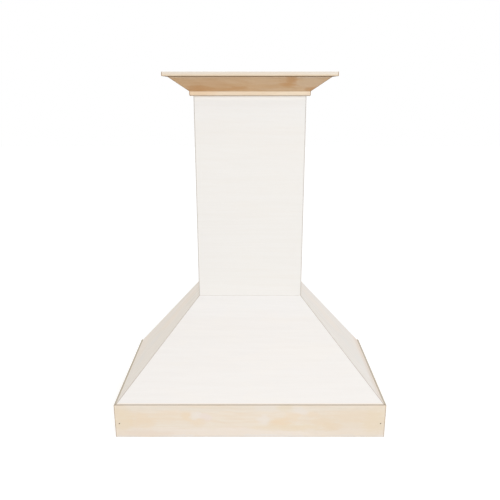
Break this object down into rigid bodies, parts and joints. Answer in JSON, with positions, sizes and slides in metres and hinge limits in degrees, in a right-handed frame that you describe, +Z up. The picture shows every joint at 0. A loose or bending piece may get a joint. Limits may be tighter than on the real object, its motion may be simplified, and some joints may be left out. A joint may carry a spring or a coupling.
{
  "type": "range hood cover",
  "caption": "Wall-mount wooden range hood cover: straight band, tapered canopy with mitred hips, box chimney and angled crown.",
  "frame": {"origin": "on the plane of the band's bottom edge, under the middle of the overall box", "axes": "+X to the right seen from the front, +Y back towards the wall, +Z up"},
  "size_m": [0.9144, 0.498, 1.1913],
  "materials": {
    "panel_hardwood": "sanded, unfinished pale hardwood veneer",
    "band_hardwood": "sanded, unfinished solid hardwood",
    "crown_hardwood": "sanded, unfinished solid hardwood moulding",
    "framing_softwood": "planed softwood framing",
    "steel_fasteners": "zinc-plated steel"
  },
  "bodies": {
    "canopy": {"band_corner_block_left": "framing_softwood", "band_corner_block_right": "framing_softwood", "band_front_board": "band_hardwood", "band_left_board": "band_hardwood", "band_rear_rail": "framing_softwood", "band_right_board": "band_hardwood", "canopy_front_panel": "panel_hardwood", "canopy_hanging_rail": "framing_softwood", "canopy_ledger_front": "framing_softwood", "canopy_ledger_left": "framing_softwood", "canopy_ledger_right": "framing_softwood", "canopy_left_panel": "panel_hardwood", "canopy_rear_stile_left": "framing_softwood", "canopy_rear_stile_right": "framing_softwood", "canopy_right_panel": "panel_hardwood", "collar_front_rail": "framing_softwood", "collar_left_rail": "framing_softwood", "collar_nailer_front": "framing_softwood", "collar_nailer_left": "framing_softwood", "collar_nailer_right": "framing_softwood", "collar_rear_rail": "framing_softwood", "collar_right_rail": "framing_softwood", "corner_brads": "steel_fasteners", "hanging_cleat": "framing_softwood", "hanging_cleat_screws": "steel_fasteners", "hip_block_left": "framing_softwood", "hip_block_right": "framing_softwood", "insert_batten_front": "framing_softwood", "insert_batten_left": "framing_softwood", "insert_batten_rear": "framing_softwood", "insert_batten_right": "framing_softwood", "insert_batten_screws": "steel_fasteners", "wall_cleat": "framing_softwood"},
    "chimney": {"chimney_bottom_rail_rear": "framing_softwood", "chimney_corner_cleat_left": "framing_softwood", "chimney_corner_cleat_right": "framing_softwood", "chimney_front_panel": "panel_hardwood", "chimney_hanging_rail": "framing_softwood", "chimney_left_panel": "panel_hardwood", "chimney_rear_stile_left": "framing_softwood", "chimney_rear_stile_right": "framing_softwood", "chimney_right_panel": "panel_hardwood", "chimney_top_rail_front": "framing_softwood", "chimney_top_rail_left": "framing_softwood", "chimney_top_rail_right": "framing_softwood", "crown_block_front_centre": "framing_softwood", "crown_block_front_left": "framing_softwood", "crown_block_front_right": "framing_softwood", "crown_block_left": "framing_softwood", "crown_block_right": "framing_softwood", "crown_board_front": "crown_hardwood", "crown_board_left": "crown_hardwood", "crown_board_right": "crown_hardwood", "crown_cap_front": "crown_hardwood", "crown_cap_left": "crown_hardwood", "crown_cap_right": "crown_hardwood", "neck_strip_front": "crown_hardwood", "neck_strip_left": "crown_hardwood", "neck_strip_right": "crown_hardwood"}
  },
  "joints": [
    {"name": "chimney_lift", "type": "slide", "parent": "canopy", "child": "chimney", "axis": [0, 0, 1], "range_m": [0, 0.06]}
  ]
}
